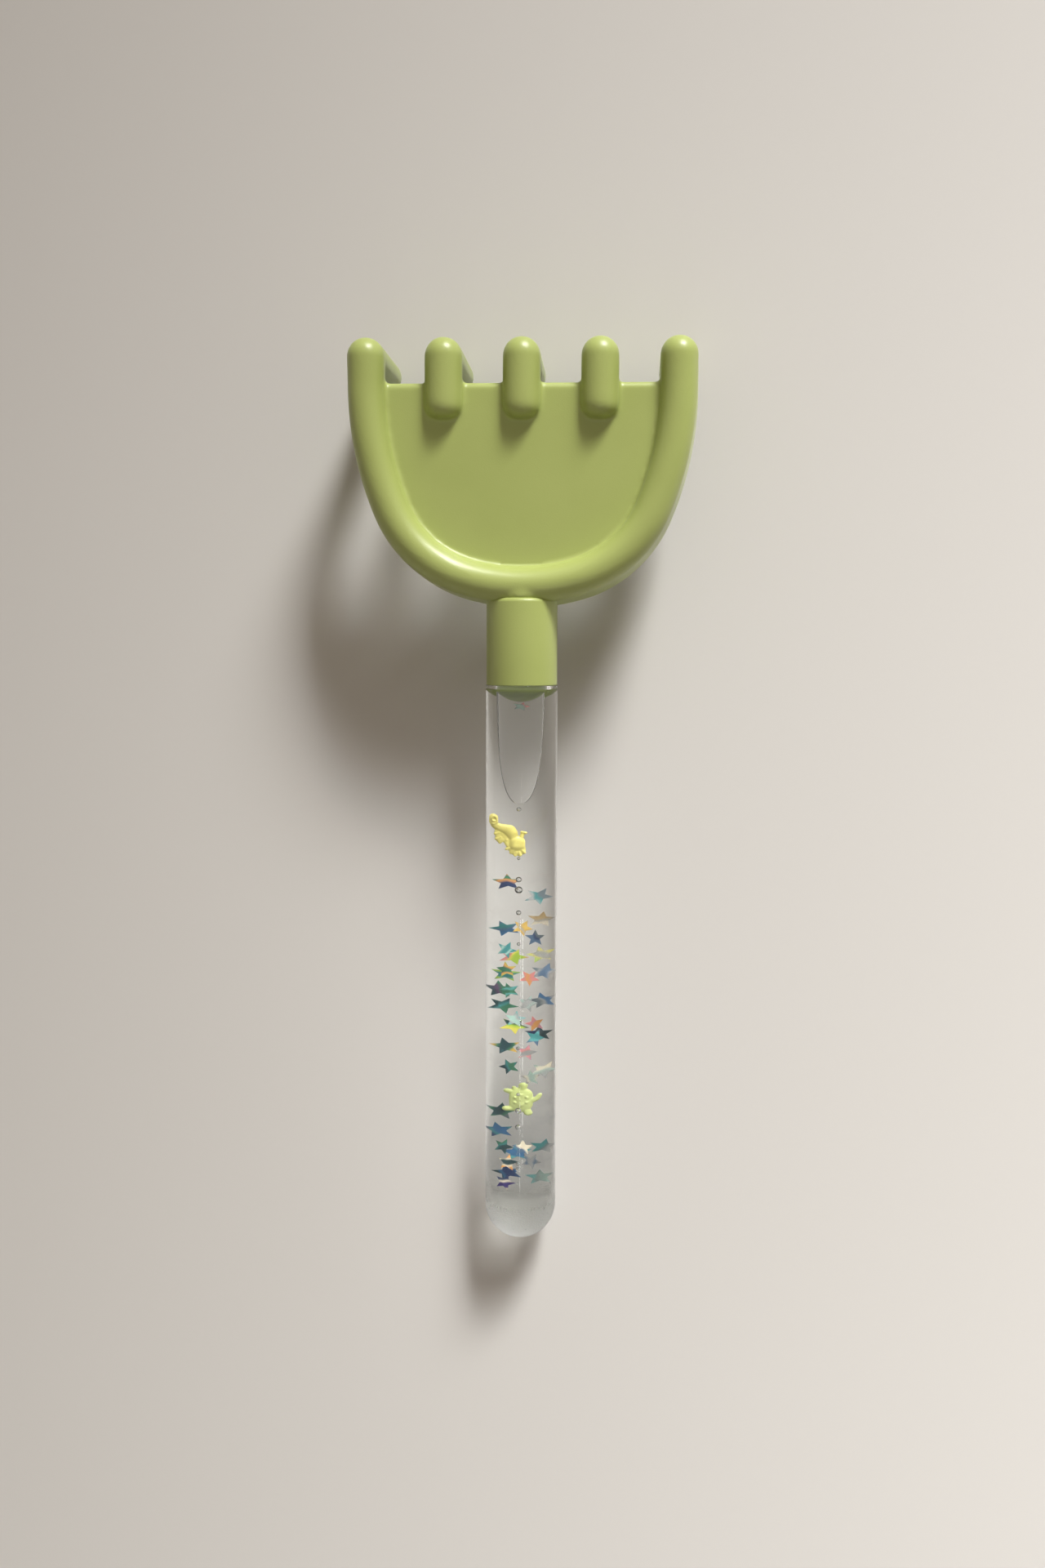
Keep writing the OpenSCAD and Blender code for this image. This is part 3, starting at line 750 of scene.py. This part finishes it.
yellow = moulded_plastic("yellow_figure", (0.82, 0.75, 0.24), (0.72, 0.63, 0.15), 0.34, 0.004)
seahorse.data.materials.append(yellow)
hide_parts("seahorse")
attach(seahorse, "seahorse")


# The turtle is moulded in lime plastic: an oval shell with a raised back, a head toward the plug, and
# four flippers.
turtle_share = 0.81
turtle_at = (0.0, bore_place(turtle_share), -lane_up)
turtle_rods = [
    (0.0, -1.45, 0.0, 1.45, 2.25, 2.25, 0.80),
    (0.0, -1.2, 0.0, 1.2, 1.60, 1.55, 1.00),
    (0.3, 3.2, 0.4, 4.35, 0.75, 0.90, 0.75),
    (-1.0, 2.8, -1.3, 3.7, 0.60, 0.45, 0.50),
    (-1.7, 2.4, -2.6, 2.7, 0.80, 0.70, 0.45),
    (1.7, -0.5, 3.0, 0.3, 0.70, 0.65, 0.45),
    (3.0, 0.3, 3.6, 1.4, 0.65, 0.50, 0.40),
    (-1.5, -2.6, -2.8, -2.8, 0.80, 0.75, 0.45),
    (1.0, -3.0, 1.35, -4.0, 0.80, 0.85, 0.50),
    (-0.3, -3.5, -0.4, -4.1, 0.40, 0.25, 0.35),
] + [(x, y, x, y + 0.1, r, r, 1.05) for x, y, r in (
    (0.0, 0.0, 0.70), (0.0, 1.5, 0.60), (0.0, -1.5, 0.60), (1.1, 0.8, 0.50), (-1.1, 0.8, 0.50),
    (1.1, -0.8, 0.50), (-1.1, -0.8, 0.50))]
turtle = figure("turtle_figure", turtle_rods, turtle_at)
lime = moulded_plastic("lime_figure", (0.57, 0.64, 0.26), (0.47, 0.54, 0.17), 0.34, 0.004)
turtle.data.materials.append(lime)
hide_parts("turtle")
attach(turtle, "turtle")


# The stars are punched from thin film with a fine grating in it, which splits light into bands of
# colour. Each star keeps its solid. Its three colours follow each other across the band that it shows.
film_colours = {
    "navy": (0.020, 0.045, 0.140), "indigo": (0.045, 0.030, 0.170), "blue": (0.045, 0.150, 0.300),
    "steel": (0.110, 0.190, 0.300), "slate": (0.150, 0.190, 0.210), "dark": (0.018, 0.060, 0.070),
    "teal": (0.060, 0.280, 0.280), "aqua": (0.160, 0.520, 0.500), "green": (0.045, 0.200, 0.110),
    "lime": (0.460, 0.660, 0.060), "yellow": (0.800, 0.720, 0.120), "gold": (0.640, 0.420, 0.100),
    "cream": (0.960, 0.860, 0.640), "orange": (0.840, 0.400, 0.120), "pink": (0.850, 0.320, 0.300),
    "mauve": (0.640, 0.310, 0.400), "violet": (0.120, 0.060, 0.130), "silver": (0.400, 0.410, 0.400),
    "mint": (0.420, 0.620, 0.540),
}
star_films = [
    ("navy", "orange", "green"), ("slate", "teal", "silver"), ("gold", "silver", "cream"),
    ("gold", "silver", "gold"), ("blue", "steel", "teal"), ("steel", "navy", "slate"),
    ("teal", "mint", "teal"), ("lime", "yellow", "silver"), ("pink", "yellow", "lime"),
    ("lime", "orange", "green"), ("slate", "silver", "steel"), ("green", "lime", "teal"),
    ("pink", "orange", "pink"), ("green", "aqua", "green"), ("dark", "violet", "green"),
    ("silver", "mint", "silver"), ("slate", "silver", "blue"), ("green", "teal", "dark"),
    ("mint", "silver", "aqua"), ("pink", "mauve", "orange"), ("yellow", "lime", "dark"),
    ("dark", "slate", "navy"), ("steel", "aqua", "teal"), ("dark", "green", "gold"),
    ("mauve", "pink", "silver"), ("dark", "teal", "green"), ("silver", "mint", "cream"),
    ("silver", "cream", "mint"), ("dark", "green", "slate"), ("blue", "teal", "navy"),
    ("dark", "teal", "green"), ("steel", "cream", "cream"), ("silver", "slate", "teal"),
    ("teal", "aqua", "blue"), ("silver", "steel", "silver"), ("dark", "cream", "orange"),
    ("navy", "blue", "dark"), ("navy", "cream", "indigo"), ("aqua", "silver", "mint"),
]
ghost_stars = (3, 8, 16, 27, 28, 39)
ghost_alpha = 0.45
colour_places = (0.15, 0.55, 0.90)
band_mm = 5.0
grating_turn, grating_lean = 1.7, 0.2
band_wander, wander_cells = 4.0, 0.3


def film(name, colours, turn, see_through):
    """Punched film: base colour = ramp(0.5 + 0.5 sin(2 pi d / band + wander n)), with d the distance
    along the film's grating and n a slow noise."""
    finish = Finish(name, Metallic=0.35, Roughness=0.24, IOR=1.5, Alpha=see_through)
    phase = (2 * math.pi / (band_mm * MM)) * finish.along(math.cos(turn), math.sin(turn), grating_lean)
    phase += band_wander * finish.noise(wander_cells, 1.0)
    wave = phase.math("SINE", phase) * 0.5 + 0.5
    stops = [(share, film_colours[colour]) for share, colour in zip(colour_places, colours)]
    finish.feed("Base Color", finish.node("ValToRGB", {"stops": stops}, Fac=wave))
    return finish.material


for number, colours in enumerate(star_films, start=1):
    alpha = ghost_alpha if number in ghost_stars else 1.0
    sheet = film(f"star_film_{number:02d}", colours, grating_turn * number, alpha)
    frame["nodes"][f"star_{number:02d}"].material_slots[0].material = sheet
plug_sheet = film("star_film_plug", ("mint", "silver", "pink"), 0.3, 1.0)
frame["nodes"]["star_on_plug"].material_slots[0].material = plug_sheet


# The studio: a plain pale floor that the rake lies on, a soft lamp low on the upper right, and a small
# lamp overhead that draws a thin line on the tube. The room is dim, and dimmer round the horizon, but
# what is seen directly, in a reflection or through the tube is a pale backdrop.
view_y = -29.27
view_middle = lay([0.0, view_y, 0.0])
floor_half = 1.6
corners = floor_half * np.array([[-1, -1, 0], [1, -1, 0], [1, 1, 0], [-1, 1, 0]])
floor_mesh = bpy.data.meshes.new("floor_card")
floor_mesh.from_pydata(corners.tolist(), [], [(0, 1, 2, 3)])
floor = bpy.data.objects.new("floor_card", floor_mesh)
bpy.context.scene.collection.objects.link(floor)
floor.data.materials.append(Finish("pale_card", Base_Color=(0.66, 0.645, 0.62, 1.0), Roughness=0.9).material)

world = bpy.data.worlds.new("pale_room")
world.use_nodes = True
bpy.context.scene.world = world
room = Shading(world.node_tree)
height = room.node("SeparateXYZ", output=HEIGHT, Vector=room.node("TexCoord", output=GENERATED))
sky = room.node("ValToRGB", {"stops": [(0.0, (0.03, 0.025, 0.02)), (0.75, (0.30, 0.25, 0.20))]}, Fac=height)
camera_ray, glossy_ray, transmission_ray = (
    room.node("LightPath", output=ray) for ray in (CAMERA_RAY, GLOSSY_RAY, TRANSMISSION_RAY))
shown = room.node("Mix", {"data_type": "RGBA"}, output=MIXED_COLOUR,
                  Factor_Float=camera_ray + glossy_ray + transmission_ray, A_Color=sky,
                  B_Color=(0.62, 0.60, 0.57, 1.0))
background = world.node_tree.nodes["Background"]
world.node_tree.links.new(shown.socket, background.inputs["Color"])
background.inputs["Strength"].default_value = 1.0


def aim(thing, place, target):
    """Puts a lamp or the camera at a place and turns its -Z axis to a target, with +Y up."""
    thing.location = place
    back = np.array(place) - np.array(target)
    back /= np.linalg.norm(back)
    right = np.cross([0.0, 1.0, 0.0], back)
    right /= np.linalg.norm(right)
    axes = np.column_stack([right, np.cross(back, right), back])
    thing.rotation_euler = mathutils.Matrix(axes.tolist()).to_euler()
    bpy.context.scene.collection.objects.link(thing)


def lamp(name, width, length, energy, place, target, spread):
    """A soft area lamp, in watts, at a place from the middle of the view, turned to a target on the floor."""
    light = bpy.data.lights.new(name, "AREA")
    light.shape = "RECTANGLE"
    light.size = width
    light.size_y = length
    light.energy = energy
    light.spread = math.radians(spread)
    light.color = (1.0, 0.995, 0.985)
    aim(bpy.data.objects.new(name, light), view_middle + place, view_middle + target)


lamp("soft_lamp", width=1.20, length=1.20, energy=14.8,
     place=(1.22, 2.34, 1.50), target=(0.50, -0.50, 0.0), spread=34)
lamp("small_lamp", width=0.03, length=0.80, energy=0.60,
     place=(0.04, -0.80, 1.20), target=(0.0, -0.1, 0.0), spread=180)

lens = bpy.data.cameras.new("camera")
lens.lens = 36.0
lens.sensor_width = 36.0
camera = bpy.data.objects.new("camera", lens)
camera_place, camera_target, camera_roll = [0.0300, -0.0046, 0.4600], [0.0003, 0.0002, 0.0], 0.0100
aim(camera, view_middle + camera_place, view_middle + camera_target)
camera.rotation_euler.rotate_axis("Z", camera_roll)
bpy.context.scene.camera = camera
bpy.context.scene.view_settings.view_transform = "Standard"
